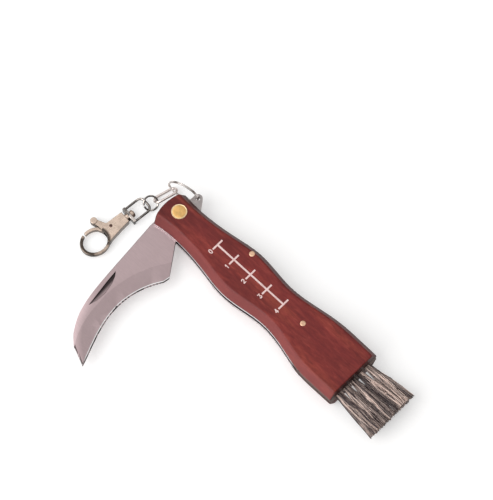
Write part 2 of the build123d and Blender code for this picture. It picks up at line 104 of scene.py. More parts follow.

# The nail nick: its box across and along the blade, and the heights over which painted shade in it deepens
NICK_ACROSS = (-2.6 * MM, 2.2 * MM)
NICK_ALONG = (-57.8 * MM, -37.1 * MM)
NICK_SHADE_HEIGHTS = (8.22 * MM, 7.9 * MM)
NICK_LOWEST = 7.5 * MM

# The brush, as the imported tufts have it: mouth, tips and spread, along X, across Y and up Z
BRUSH_MOUTH = 107.3 * MM
BRUSH_TIP = 131.3 * MM
TUFT_COUNT = 5
TUFT_ROOTS = (-13.0 * MM, 9.3 * MM)
TUFT_TIPS = (-14.4 * MM, 11.0 * MM)
ROOT_SPREAD = (3.3 * MM, 1.35 * MM)
TIP_SPREAD = (5.7 * MM, 5.3 * MM)

# The bristles: how far they go into the block, how many shapes they have, in how many steps,
# how much of each is straight at its root, a full turn, and the turn from one lock to the next
BRISTLE_SUNK = 1.2 * MM
BRISTLE_KINDS = 8
BRISTLE_STEPS = 8
STRAIGHT_SHARE = 0.12
FULL_TURN = 6.28
LOCK_TURN = 2.4

# The split ring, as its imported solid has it: two flat turns, with a step between two angles in degrees
RING_HEADING = math.radians(195.7)
RING_CENTRE = Vector((-7.2276, 10.0246, 7.8)) * MM
RING_RADIUS = 7.3 * MM
RING_DEPTH = 0.78 * MM
RING_TURN_WIDTH = 0.46 * MM
RING_STEP = 0.5 * MM
RING_CORNER = 0.13 * MM
RING_START = 54
STEP_START = 380
STEP_END = 412
RING_END = 738
RING_PARTS = 120

# The oval link, and the jump ring with its gap in degrees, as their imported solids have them
LINK_CENTRE = Vector((-13.28, 4.79, 2.37)) * MM
LINK_WAY = (0.276, 0.959, 0.068)
LINK_UP = (-0.595, 0.115, 0.796)
LINK_WIRE = 0.62 * MM
LINK_SIDE = 2.3 * MM
LINK_HALF = 3.16 * MM
LINK_SEAM = 0.01 * MM
LINK_PARTS = 18
JUMP_CENTRE = Vector((-15.42, -2.3, 1.9523)) * MM
JUMP_TILT = math.radians(28)
JUMP_WAY = math.radians(338)
JUMP_WIRE = 0.42 * MM
JUMP_RADIUS = 3.2 * MM
JUMP_GAP = 8
JUMP_PARTS = 48

# The snap: its own plane, its rivet in that plane, and its hook, whose loop gets a painted dark reflection
# out to a distance
SNAP_HEADING = math.radians(-95.7)
SNAP_ORIGIN = Vector((-17.99, -14.3, 2.0)) * MM
RIVET_IN_SNAP = Vector((8.6, -1.1, 0)) * MM
HOOK_CENTRE = Vector((-19.91, -32.5, 2.0)) * MM
LOOP_ENDS = (6.6 * MM, 7.6 * MM)

# The outer and the inner rim of the hook and of its lever, from the snap's plane
HOOK_RIMS = (1.97 * MM, 1.0 * MM)
LEVER_RIMS = (1.47 * MM, 1.1 * MM)

# How far the edges of the metal pieces are rounded
BLADE_ROUND = 0.15 * MM
HOOK_ROUND = 0.3 * MM
LEVER_ROUND = 0.22 * MM
BAIL_ROUND = 0.18 * MM

# In a copied solid, points this near are one point, and faces this level are one face
SAME_POINT = 0.002 * MM
SAME_FACE = math.radians(0.6)

# The camera: what it looks at, from where, and how large a millimetre is in the picture's pixels
CAMERA_AIM = Vector((33.75, 7.58, 14.5)) * MM
CAMERA_AZIMUTH = math.radians(44.2)
CAMERA_ELEVATION = math.radians(68.3)
CAMERA_LENS = 400
CAMERA_SENSOR = 36
CAMERA_NEAR = 0.05
CAMERA_FAR = 20
PICTURE_SIDE = 500
PIXELS_A_MM = 2.29

# The floor, the point that the lamps point at, and each lamp's way from it and width
FLOOR_SIDE = 6.0
FLOOR_HEIGHT = -0.02 * MM
LAMP_AIM = Vector((35, 0, 5)) * MM
KEY_WAY = Vector((-0.25, -0.8, 0.8))
KEY_WIDTH = 1.2
FILL_WAY = Vector((-0.9, 0.2, 1.0))
FILL_WIDTH = 0.8


# Settings


def colour_setting(name, description, default):
    return bpy.props.FloatVectorProperty(
        name=name, description=description, subtype="COLOR", size=3, default=default, min=0, max=1
    )


def length_setting(name, description, default):
    return bpy.props.FloatProperty(
        name=name, description=description, unit="LENGTH", subtype="DISTANCE", default=default, min=0
    )


class WoodSettings(bpy.types.PropertyGroup):
    dark: colour_setting("Dark grain", "Colour of the dark grain of the scales", (0.1404, 0.0156, 0.0169))
    middle: colour_setting("Body colour", "Main colour of the scales", (0.2515, 0.0336, 0.0273))
    light: colour_setting("Light grain", "Colour of the light grain of the scales", (0.4212, 0.078, 0.0585))
    warm: colour_setting("Warm bands", "Colour of the broad bands along the scales", (0.34, 0.075, 0.04))
    # The sanded bevels' colour, which also carries a painted highlight on the blade's side (-Y)
    sanded_and_lit: colour_setting("Sanded bevel", "Colour of the sanded bevels of the scales", (0.4, 0.125, 0.12))
    edge_round: length_setting("Rounded edge", "How far the edges of the scales are worn round", 0.75 * MM)


class MetalSettings(bpy.types.PropertyGroup):
    blade: colour_setting("Blade", "Colour of the ground blade steel", (0.57, 0.44, 0.452))
    steel: colour_setting("Liner steel", "Colour of the two liners", (0.93, 0.86, 0.87))
    brass: colour_setting("Brass", "Colour of the pivot's heads", (0.94, 0.58, 0.22))
    spring: colour_setting("Spring steel", "Colour of the back spring and its lug", (0.46, 0.42, 0.41))
    copper: colour_setting("Small pins", "Colour of the two small handle pins", (0.95, 0.62, 0.42))
    ring: colour_setting("Ring nickel", "Colour of the split ring", (0.92, 0.86, 0.83))
    # The link's paler nickel is a painted highlight, and the darker wire nickel of the jump ring and bail a
    # painted dark reflection
    link: colour_setting("Link nickel", "Colour of the oval link", (0.95, 0.84, 0.8))
    wire: colour_setting("Wire nickel", "Colour of the jump ring and the bail", (0.62, 0.56, 0.52))
    nickel: colour_setting("Snap nickel", "Colour of the snap", (0.86, 0.68, 0.56))


class BrushSettings(bpy.types.PropertyGroup):
    locks: bpy.props.IntProperty(
        name="Locks", description="How many locks of one tone each tuft has", default=38, min=4, max=60
    )
    per_lock: bpy.props.IntProperty(
        name="Bristles a lock", description="How many bristles each lock has", default=5, min=4, max=24
    )
    radius: length_setting("Bristle radius", "Radius of one bristle at its root", 0.15 * MM)
    dark: colour_setting("Dark bristle", "Colour of the dark bristles", (0.035, 0.02, 0.023))
    light: colour_setting("Light bristle", "Colour of the light bristles", (0.84, 0.66, 0.58))
    seed: bpy.props.IntProperty(name="Seed", description="Start of the bristles' random draws", default=7)


class StageSettings(bpy.types.PropertyGroup):
    floor: colour_setting("Floor", "Colour of the floor", (0.68, 0.68, 0.68))
    glow: bpy.props.FloatProperty(
        name="White of the floor", description="How much whiter the floor looks than lit",
        default=0.42, min=0,
    )
    sky: bpy.props.FloatProperty(
        name="Sky", description="Strength of the soft light from above", default=0.72, min=0
    )
    key: bpy.props.FloatProperty(
        name="Key light", description="Power of the large lamp on the blade's side",
        unit="POWER", default=10.0, min=0,
    )
    fill: bpy.props.FloatProperty(
        name="Fill light", description="Power of the large lamp past the head",
        unit="POWER", default=1.2, min=0,
    )


# Helpers for modelling


def only(*chosen):
    """Leaves just these objects selected, the first one active."""
    bpy.ops.object.select_all(action="DESELECT")
    for piece in chosen:
        piece.select_set(True)
    bpy.context.view_layer.objects.active = chosen[0]


def edit(piece, mode="VERT", everything=True):
    """Goes into edit mode on one piece, with everything or nothing selected."""
    only(piece)
    bpy.ops.object.mode_set(mode="EDIT")
    bpy.ops.mesh.select_mode(type=mode)
    bpy.ops.mesh.select_all(action="SELECT" if everything else "DESELECT")


def done():
    """Leaves edit mode."""
    bpy.ops.object.mode_set(mode="OBJECT")


def newest(name):
    """Names the object that an operator has just added, and its mesh."""
    piece = bpy.context.active_object
    piece.name = name
    piece.data.name = name
    return piece


def axes(origin, x_axis, z_axis):
    """A placing matrix from an origin, the way of X and the way of Z."""
    z_axis = Vector(z_axis).normalized()
    x_axis = Vector(x_axis)
    x_axis = (x_axis - x_axis.dot(z_axis) * z_axis).normalized()
    y_axis = z_axis.cross(x_axis)
    turned_by = Matrix((x_axis, y_axis, z_axis)).transposed().to_4x4()
    return Matrix.Translation(origin) @ turned_by


def place(piece, matrix=Matrix()):
    """Moves a finished piece to its place and leaves the place in its mesh."""
    piece.matrix_world = matrix @ piece.matrix_world
    only(piece)
    bpy.ops.object.transform_apply(location=True, rotation=True, scale=True)


def extrude(way=(0, 0, 0)):
    """Draws what is selected out, and leaves the new end selected."""
    bpy.ops.mesh.extrude_region_move(TRANSFORM_OT_translate={"value": way})


def turn_about(angle, centre=(0, 0, 0)):
    """Turns what is selected about Z, counterclockwise."""
    bpy.ops.transform.rotate(value=-angle, orient_axis="Z", center_override=centre)


def smooth(piece, angle):
    """Shades a piece smooth, apart from its edges that are sharper than the angle."""
    only(piece)
    bpy.ops.object.shade_smooth_by_angle(angle=math.radians(angle))


def close_up(piece, angle):
    """Turns the faces of the piece in edit mode outwards, and leaves it shaded smooth."""
    bpy.ops.mesh.select_all(action="SELECT")
    bpy.ops.mesh.normals_make_consistent(inside=False)
    done()
    smooth(piece, angle)


def weigh_normals(piece):
    """Turns the shading of a piece's small rounded faces towards its large flat ones."""
    only(piece)
    bpy.ops.object.modifier_add(type="WEIGHTED_NORMAL")
    modifier = piece.modifiers[-1]
    modifier.keep_sharp = True
    bpy.ops.object.modifier_apply(modifier=modifier.name)


def solid_copy(node, name):
    """A copy of a solid's mesh with its triangles merged into whole faces."""
    piece = nodes[node].copy()
    piece.data = nodes[node].data.copy()
    for key in list(piece.keys()):
        del piece[key]
    piece.parent = None
    piece.name = name
    piece.data.name = name
    bpy.context.scene.collection.objects.link(piece)
    edit(piece)
    bpy.ops.mesh.remove_doubles(threshold=SAME_POINT)
    bpy.ops.mesh.dissolve_limited(angle_limit=SAME_FACE)
    done()
    return piece


def soften(piece, width, least_angle, segments=3, leave=lambda place: False):
    """Rounds the edges of a piece that are sharper than an angle, apart from those to leave."""
    edit(piece, "EDGE", everything=False)
    bpy.ops.mesh.edges_select_sharp(sharpness=math.radians(least_angle))
    done()
    mesh = piece.data
    for edge in mesh.edges:
        if edge.select:
            ends = [mesh.vertices[index].co for index in edge.vertices]
            if leave((ends[0] + ends[1]) / 2):
                edge.select = False
    bpy.ops.object.mode_set(mode="EDIT")
    bpy.ops.mesh.bevel(offset=width, segments=segments, profile=0.5, affect="EDGES", clamp_overlap=False)
    bpy.ops.mesh.select_all(action="SELECT")
    bpy.ops.mesh.remove_doubles(threshold=SAME_POINT)
    done()


def turned(name, profile, sides, centre=(0, 0, 0)):
    """A disc drawn up through each height and radius, in millimetres, of a turned piece's profile."""
    profile = [(height * MM, radius * MM) for height, radius in profile]
    height, radius = profile[0]
    bpy.ops.mesh.primitive_circle_add(
        vertices=sides, radius=radius, fill_type="NGON", location=(centre[0], centre[1], centre[2] + height)
    )
    piece = newest(name)
    edit(piece)
    for next_height, next_radius in profile[1:]:
        extrude((0, 0, next_height - height))
        share = next_radius / radius
        bpy.ops.transform.resize(value=(share, share, 1), center_override=(centre[0], centre[1], 0))
        height, radius = next_height, next_radius
    close_up(piece, 40)
    place(piece)
    return piece


def finish_piece(piece, body, slot, material, *stands_for):
    """Gives a piece its material and its body, and hides the solids that it stands for; the slot is not
    used.
    """
    piece.data.materials.clear()
    piece.data.materials.append(material)
    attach(piece, body)
    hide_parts(*stands_for)


def paint(material, *names):
    """Gives a material to solids that keep their shape."""
    for name in names:
        data = nodes[name].data
        data.materials.clear()
        data.materials.append(material)


# Helpers for materials


def rgba(colour):
    return (colour[0], colour[1], colour[2], 1.0)


def tinted(colour, share):
    """A colour made lighter or darker."""
    return tuple(min(1.0, value * share) for value in colour)


class Look:
    """The node tree of a material or a world, built node by node."""

    def __init__(self, owner):
        owner.use_nodes = True
        self.owner = owner
        self.tree = owner.node_tree
        self.tree.nodes.clear()

    def fill(self, socket, value):
        """Gives a socket a value, or joins another node's output to it."""
        if isinstance(value, bpy.types.NodeSocket):
            self.tree.links.new(value, socket)
        else:
            socket.default_value = value

    def node(self, kind, sockets=None, **settings):
        """Adds a node. A socket's value is a number, a colour or another node's output."""
        made = self.tree.nodes.new(kind)
        for key, value in settings.items():
            setattr(made, key, value)
        for key, value in (sockets or {}).items():
            self.fill(made.inputs[key], value)
        return made

    def parts_of(self, kind):
        """The X, Y and Z of an object's coordinates, of its normal, or of a way in the sky."""
        coordinates = self.node("ShaderNodeTexCoord")
        return self.node("ShaderNodeSeparateXYZ", {"Vector": coordinates.outputs[kind]}).outputs

    def distance_from(self, point):
        """How far a place on the object is from a point."""
        coordinates = self.node("ShaderNodeTexCoord")
        made = self.node(
            "ShaderNodeVectorMath", {0: coordinates.outputs["Object"], 1: tuple(point)}, operation="DISTANCE"
        )
        return made.outputs["Value"]

    def noise(self, scale, offset=(0, 0, 0), turn=(0, 0, 0), detail=4.0, roughness=0.55, distortion=0.0):
        """A noise on the object's own coordinates in millimetres, scaled, shifted and turned."""
        coordinates = self.node("ShaderNodeTexCoord")
        mapping = self.node(
            "ShaderNodeMapping",
            {
                "Vector": coordinates.outputs["Object"],
                "Scale": [value / MM for value in scale],
                "Location": offset,
                "Rotation": turn,
            },
        )
        made = self.node(
            "ShaderNodeTexNoise",
            {
                "Vector": mapping.outputs["Vector"],
                "Scale": 1.0,
                "Detail": detail,
                "Roughness": roughness,
                "Distortion": distortion,
            },
        )
        return made.outputs["Fac"]

    def ramp(self, value, stops):
        """Turns a number into a colour or a grey through (place, colour) stops."""
        made = self.node("ShaderNodeValToRGB", {"Fac": value})
        points = made.color_ramp.elements
        while len(points) < len(stops):
            points.new(0.5)
        for point, (at, colour) in zip(points, stops):
            point.position = at
            point.color = rgba(colour if isinstance(colour, tuple) else (colour, colour, colour))
        return made.outputs["Color"]

    def blend(self, share, first, second, kind="MIX"):
        """Mixes two colours, or multiplies them."""
        made = self.node("ShaderNodeMix", data_type="RGBA", blend_type=kind)
        for name, sort, value in (("Factor", "VALUE", share), ("A", "RGBA", first), ("B", "RGBA", second)):
            socket = next(each for each in made.inputs if (each.name, each.type) == (name, sort))
            self.fill(socket, rgba(value) if isinstance(value, tuple) else value)
        return next(each for each in made.outputs if each.type == "RGBA")

    def maths(self, operation, first, second=0.0, clamp=False):
        made = self.node("ShaderNodeMath", operation=operation, use_clamp=clamp)
        self.fill(made.inputs[0], first)
        self.fill(made.inputs[1], second)
        return made.outputs[0]

    def times(self, first, second):
        return self.maths("MULTIPLY", first, second)

    def plus(self, first, second):
        return self.maths("ADD", first, second)

    def size_of(self, value):
        return self.maths("ABSOLUTE", value)

    def from_middle(self, height):
        """How far a height is from the middle of the handle's thickness."""
        return self.size_of(self.maths("SUBTRACT", height, MID_HEIGHT))

    def within(self, value, low, high):
        """One between two limits, and nought past them."""
        return self.times(self.maths("GREATER_THAN", value, low), self.maths("LESS_THAN", value, high))

    def stretch(self, value, low, high, to_low=0.0, to_high=1.0):
        """Turns one span of a number into another, and stops at its ends."""
        made = self.node(
            "ShaderNodeMapRange",
            {"Value": value, "From Min": low, "From Max": high, "To Min": to_low, "To Max": to_high},
        )
        return made.outputs["Result"]

    def dimmed(self, colour, share):
        """A colour times a number."""
        grey = self.node("ShaderNodeCombineColor", {"Red": share, "Green": share, "Blue": share})
        return self.blend(1.0, colour, grey.outputs["Color"], "MULTIPLY")

    def bump(self, height, strength, depth):
        made = self.node("ShaderNodeBump", {"Height": height, "Strength": strength, "Distance": depth})
        return made.outputs["Normal"]

    def surface(self, **sockets):
        """The shader itself, joined to the material's output."""
        named = {key.replace("_", " "): value for key, value in sockets.items()}
        shader = self.node("ShaderNodeBsdfPrincipled", named)
        self.node("ShaderNodeOutputMaterial", {"Surface": shader.outputs["BSDF"]})
        return self.owner

    def metal(self, tone, rough, bump):
        return self.surface(Base_Color=tone, Metallic=1.0, Roughness=rough, Normal=bump)


def new_look(name):
    return Look(bpy.data.materials.new(name))


def wood_finish(settings):
    """Red-brown hardwood: mottled grain, streaks and bands, fine pores, dark end grain and sanded bevels; a
    painted highlight on the bevels on the blade's side (-Y), and painted shade on the spring side (+Y).
    """
    look = new_look("oiled_red_wood")
    cloud = look.noise((0.05, 0.16, 0.16), detail=3.0)
    bands = look.noise((0.012, 0.085, 0.08), offset=(2.2, 0.9, 4.4), detail=2.0, distortion=0.4)
    mottle = look.noise((0.2, 0.75, 0.8), offset=(3.1, 0.4, 1.7), detail=6.0, distortion=0.4)
    streaks = look.noise((0.05, 0.6, 0.6), offset=(9.2, 2.3, 0.6), detail=4.0, distortion=0.3)
    pores = look.noise((0.5, 5.2, 5.2), detail=3.0, roughness=0.6)
    dark, middle, light = tuple(settings.dark), tuple(settings.middle), tuple(settings.light)
    colour = look.ramp(mottle, [(0.2, dark), (0.5, middle), (0.84, light)])
    colour = look.blend(look.stretch(bands, 0.5, 0.36, 0.0, 0.45), colour, tuple(settings.warm))
    colour = look.blend(look.stretch(streaks, 0.5, 0.68, 0.0, 0.45), colour, dark)
    colour = look.blend(look.stretch(bands, 0.46, 0.6, 0.0, 0.6), colour, dark)
    pore_share = look.stretch(pores, 0.57, 0.72, 0.0, 0.45)
    colour = look.blend(pore_share, colour, tinted(dark, 0.4))
    shaded = look.ramp(cloud, [(0.35, (0.78, 0.76, 0.76)), (0.65, (1.0, 1.0, 1.0))])
    colour = look.blend(1.0, colour, shaded, "MULTIPLY")

    where = look.parts_of("Object")
    facing = look.parts_of("Normal")
    # Sanded bevels, lighter on the blade's side (-Y) only: partly real sanding, partly a painted highlight
    # where the key light falls
    sanded_and_lit = look.stretch(facing["Y"], -0.3, -0.8, 0.0, 0.36)
    colour = look.blend(sanded_and_lit, colour, tuple(settings.sanded_and_lit))
    # Painted shade on the faces turned to the spring side (+Y), deepest near the middle of the thickness
    spring_side = look.stretch(facing["Y"], 0.25, 0.6)
    spring_side_shade = look.times(spring_side, look.stretch(look.from_middle(where["Z"]), *SPRING_SIDE_SHADE, 0.25, 0.92))
    colour = look.blend(spring_side_shade, colour, tinted(dark, 0.35))
    head = look.stretch(where["X"], *HEAD_SHADE, 0.7, 1.0)
    end_grain = look.stretch(look.size_of(facing["X"]), 0.75, 0.95, 1.0, 0.4)
    height = look.maths("SUBTRACT", look.times(mottle, 0.5), pore_share)
    return look.surface(
        Base_Color=look.dimmed(colour, look.times(head, end_grain)),
        Roughness=look.stretch(mottle, 0.3, 0.7, 0.42, 0.56),
        Specular_IOR_Level=0.28,
        Normal=look.bump(height, 0.3, 0.05 * MM),
    )


def block_finish():
    """Dark stained wood of the brush's block, with short end grain."""
    look = new_look("stained_block_wood")
    rings = look.noise((0.2, 1.6, 2.4), detail=5.0, distortion=0.6)
    specks = look.noise((3.0, 5.0, 5.0), detail=2.0)
    colour = look.ramp(rings, [(0.3, (0.1, 0.055, 0.045)), (0.7, (0.19, 0.115, 0.095))])
    colour = look.blend(look.stretch(specks, 0.6, 0.72, 0.0, 0.5), colour, (0.05, 0.028, 0.024))
    return look.surface(
        Base_Color=colour,
        Roughness=look.stretch(rings, 0.3, 0.7, 0.6, 0.75),
        Normal=look.bump(rings, 0.3, 0.05 * MM),
    )


def brushed_finish(name, colour, across, roughness, dark_end_and_shade=False):
    """Brushed steel: fine lines one way, a few deeper ones, dull patches, and if asked an end that turns
    dark towards the brush and painted shade on the flat faces.
    """
    look = new_look(name)
    lines = look.noise(across, detail=6.0, roughness=0.7)
    deep = look.noise([value * 0.45 for value in across], offset=(4.0, 7.0, 1.0), detail=2.0)
    patches = look.noise((0.09, 0.09, 0.09), detail=4.0)
    tone = look.ramp(lines, [(0.25, tinted(colour, 0.85)), (0.75, tinted(colour, 1.14))])
    tone = look.blend(look.stretch(patches, 0.35, 0.7, 0.0, 0.3), tone, tinted(colour, 0.78))
    if dark_end_and_shade:
        # The liners turn dark towards the brush end
        along = look.plus(look.parts_of("Object")["X"], look.times(patches, LINER_DARK_UNEVEN))
        tone = look.blend(look.stretch(along, *LINER_DARK_END), tone, (0.13, 0.095, 0.08))
        # Painted shade on the liners' flat faces, which lie between the scales and the blade
        shaded_flat_face = look.stretch(look.size_of(look.parts_of("Normal")["Z"]), 0.4, 0.9)
        tone = look.blend(shaded_flat_face, tone, (0.16, 0.13, 0.14))
    dullness = look.stretch(patches, 0.3, 0.7, roughness - 0.06, roughness + 0.08)
    rough = look.plus(dullness, look.stretch(lines, 0.3, 0.7, -0.04, 0.04))
    height = look.plus(lines, look.stretch(deep, 0.6, 0.75, 0.0, 1.0))
    return look.metal(tone, rough, look.bump(height, 0.35, 0.012 * MM))


def blade_finish(colour):
    """Ground blade steel: satin flats, painted shade by face tilt that makes the grind darker and the edge
    bevel dark, a painted highlight along the edge, a light band by the back, and painted shade in the nick.
    """
    look = new_look("blade_steel")
    lines = look.noise((0.3, 4.2, 4.2), turn=(0, 0, 0.25), detail=6.0, roughness=0.7)
    deep = look.noise((0.12, 1.6, 1.6), offset=(4.0, 7.0, 1.0), turn=(0, 0, 0.25), detail=2.0)
    patches = look.noise((0.07, 0.07, 0.07), detail=4.0)
    tone = look.ramp(lines, [(0.25, tinted(colour, 0.87)), (0.75, tinted(colour, 1.12))])
    tone = look.blend(look.stretch(patches, 0.35, 0.7, 0.0, 0.35), tone, tinted(colour, 0.8))

    where = look.parts_of("Object")
    from_middle = look.from_middle(where["Z"])
    # A painted highlight along the cutting edge, a thin strip at its height from the middle
    inner_side = look.stretch(from_middle, *EDGE_HIGHLIGHT_INSIDE)
    outer_side = look.stretch(from_middle, *EDGE_HIGHLIGHT_OUTSIDE)
    edge_highlight = look.times(inner_side, outer_side)
    tone = look.blend(edge_highlight, tone, (0.68, 0.66, 0.665))
    # Painted shade by the tilt of each face, standing in for dark reflections: the sides and the edge bevel
    # darkest, the grind a little darker than the flats
    flatness = look.stretch(look.size_of(look.parts_of("Normal")["Z"]), 0.95, 1.0)
    faces = look.ramp(flatness, [(0.2, 0.07), (0.34, 0.5), (0.76, 0.6), (0.965, 0.6), (0.985, 0.66)])
    faces = look.maths("MAXIMUM", faces, edge_highlight)
    tip_arc = look.distance_from(BACK_ARC_CENTRE)
    near_back = look.stretch(tip_arc, *BACK_BAND)
    past_nick = look.stretch(where["Y"], *BACK_BAND_START)
    band = look.times(look.times(near_back, past_nick), 0.5)
    share = look.plus(look.times(faces, 1.5), band)

    # Painted shade in the nail nick, deeper towards its floor
    in_nick = look.times(look.within(where["X"], *NICK_ACROSS), look.within(where["Y"], *NICK_ALONG))
    its_side = look.maths("GREATER_THAN", where["Z"], NICK_LOWEST)
    depth = look.times(look.stretch(where["Z"], *NICK_SHADE_HEIGHTS), its_side)
    nick = look.times(in_nick, depth)
    share = look.times(share, look.stretch(nick, 0.0, 1.0, 1.0, 0.1))
    dullness = look.stretch(patches, 0.3, 0.7, 0.34, 0.46)
    rough = look.plus(dullness, look.stretch(lines, 0.3, 0.7, -0.04, 0.04))
    height = look.plus(lines, look.stretch(deep, 0.6, 0.75, 0.0, 0.8))
    return look.metal(look.dimmed(tone, share), rough, look.bump(height, 0.3, 0.012 * MM))


def cast_finish(
    name, colour, roughness, side_shade=1.0, side_shade_tilts=(0.35, 0.85), painted_loop_reflection=False, glints=None
):
    """Plated metal: a faint unevenness, small dull spots, painted shade on the sides turned away from up,
    and if asked painted glints and a painted dark reflection on the hook's loop.
    """
    look = new_look(name)
    cloud = look.noise((0.45, 0.45, 0.45), detail=4.0)
    fine = look.noise((3.5, 3.5, 3.5), detail=3.0)
    tone = look.ramp(cloud, [(0.3, tinted(colour, 0.84)), (0.7, tinted(colour, 1.08))])
    # Painted shade on faces that turn away from up, standing in for dark reflections on the sides
    worn = look.stretch(look.size_of(look.parts_of("Normal")["Z"]), *side_shade_tilts, side_shade, 1.0)
    # Painted glints: noise spots that raise the tone like small highlights
    if glints:
        painted_glint = look.stretch(look.noise((0.26, 0.26, 0.26), offset=glints, detail=1.0), 0.52, 0.6)
        worn = look.times(worn, look.stretch(painted_glint, 0.0, 1.0, 0.42, 1.5))
    # A painted dark reflection on the hook's loop, broken by painted glints
    if painted_loop_reflection:
        patches = look.noise((0.2, 0.2, 0.2), offset=(4.6, 2.0, 5.0), detail=2.0)
        loop_glint = look.stretch(patches, 0.48, 0.68, 0.13, 0.8)
        past_loop = look.stretch(look.distance_from(HOOK_CENTRE), *LOOP_ENDS)
        worn = look.times(worn, look.maths("MAXIMUM", loop_glint, past_loop))
    dullness = look.stretch(cloud, 0.3, 0.7, roughness - 0.03, roughness + 0.07)
    rough = look.plus(dullness, look.stretch(fine, 0.4, 0.7, 0.0, 0.05))
    height = look.plus(cloud, look.times(fine, 0.5))
    return look.metal(look.dimmed(tone, worn), rough, look.bump(height, 0.15, 0.03 * MM))


def brass_finish(name, colour):
    """Pin metal: turned rings round the pivot, a tarnished film and fine scratches."""
    look = new_look(name)
    place_on_it = look.node("ShaderNodeTexCoord").outputs["Object"]
    flat = look.node("ShaderNodeVectorMath", {0: place_on_it, 1: (1, 1, 0)}, operation="MULTIPLY")
    length = look.node("ShaderNodeVectorMath", {0: flat.outputs["Vector"]}, operation="LENGTH")
    radius = length.outputs["Value"]
    rings = look.maths("SINE", look.times(radius, 2 * math.pi / LATHE_PITCH))
    film = look.noise((0.5, 0.5, 0.5), detail=5.0)
    scratches = look.noise((0.6, 6.0, 2.0), turn=(0, 0, 0.6), detail=4.0, roughness=0.7)
    tone = look.ramp(film, [(0.3, tinted(colour, 0.78)), (0.6, colour), (0.8, tinted(colour, 1.12))])
    rim = look.times(look.stretch(radius, *RIM_INSIDE), look.stretch(radius, *RIM_OUTSIDE))
    tone = look.blend(look.times(rim, 0.55), tone, (1.0, 0.86, 0.62))
    height = look.plus(look.times(rings, 0.4), scratches)
    rough = look.stretch(film, 0.3, 0.7, 0.4, 0.5)
    return look.metal(tone, rough, look.bump(height, 0.2, 0.01 * MM))


def ink_finish():
    """Off-white ruler ink, a little thin and worn where the wood's pores are."""
    look = new_look("ruler_ink")
    cloud = look.noise((0.5, 0.9, 0.9), detail=4.0)
    pits = look.noise((0.6, 4.5, 4.5), detail=3.0)
    colour = look.ramp(cloud, [(0.3, (0.74, 0.52, 0.5)), (0.7, (0.9, 0.7, 0.68))])
    colour = look.blend(look.stretch(pits, 0.58, 0.72, 0.0, 0.6), colour, (0.45, 0.2, 0.17))
    return look.surface(
        Base_Color=colour,
        Roughness=look.stretch(cloud, 0.3, 0.7, 0.5, 0.65),
        Normal=look.bump(pits, 0.3, 0.02 * MM),
    )


def bristle_finish(settings):
    """Coarse bristle, each one with its own tone, and uneven along its length."""
    look = new_look("coarse_bristle")
    tone = look.node("ShaderNodeAttribute", attribute_name="tone").outputs["Fac"]
    along = look.noise((0.35, 2.0, 2.0), detail=3.0)
    share = look.maths("ADD", tone, look.stretch(along, 0.3, 0.7, -0.16, 0.16), clamp=True)
    dark, light = tuple(settings.dark), tuple(settings.light)
    middle = tuple(0.6 * low + 0.4 * high for low, high in zip(dark, light))
    return look.surface(
        Base_Color=look.ramp(share, [(0.0, dark), (0.45, middle), (1.0, light)]),
        Roughness=look.stretch(along, 0.3, 0.7, 0.38, 0.55),
        Specular_IOR_Level=0.5,
        Normal=look.bump(along, 0.2, 0.02 * MM),
    )


# The handle and the blade


class KNIFE_OT_scales(bpy.types.Operator):
    """Model the two wooden scales with worn edges"""

    bl_idname = "knife.scales"
    bl_label = "Wooden scales"

    def execute(self, context):
        settings = context.scene.knife_wood
        wood = wood_finish(settings)

        def at_a_pin(place):
            flat = Vector((place.x, place.y, 0))
            by_a_pin = any((flat - pin).length < PIN_CLEARING for pin in (MIDDLE_PIN, REAR_PIN))
            return flat.length < PIVOT_CLEARING or by_a_pin

        for side, inner_face in INNER_FACES.items():

            def stays_sharp(place):
                return at_a_pin(place) or abs(place.z - inner_face) < AT_A_FACE

            scale = solid_copy(f"{side}_scale", f"{side}_wood_scale")
            soften(scale, settings.edge_round, 25, leave=stays_sharp)
            smooth(scale, 35)
            weigh_normals(scale)
            finish_piece(scale, "handle", "handle_wood", wood, f"{side}_scale")
        return {"FINISHED"}


class KNIFE_OT_steel(bpy.types.Operator):
    """Finish the liners, the back spring, the washers, the ruler and the hidden pieces"""

    bl_idname = "knife.steel"
    bl_label = "Liners, spring and ruler"

    def execute(self, context):
        metal = context.scene.knife_metal
        steel = tuple(metal.steel)
        liner = brushed_finish("liner_steel", steel, (0.25, 3.0, 3.0), 0.5, dark_end_and_shade=True)
        paint(liner, "front_liner", "back_liner")
        bright = brushed_finish("small_steel", steel, (1.0, 3.0, 3.0), 0.4)
        paint(bright, "brush_pin", "tuft_staples", "trigger_spring")
        spring = brushed_finish("spring_steel", tuple(metal.spring), (2.0, 0.3, 2.0), 0.42)
        paint(spring, "back_spring")
        bronze = cast_finish("washer_bronze", (0.5, 0.28, 0.12), 0.4)
        paint(bronze, "pivot_washers")
        paint(ink_finish(), "ruler_inlay")
        return {"FINISHED"}


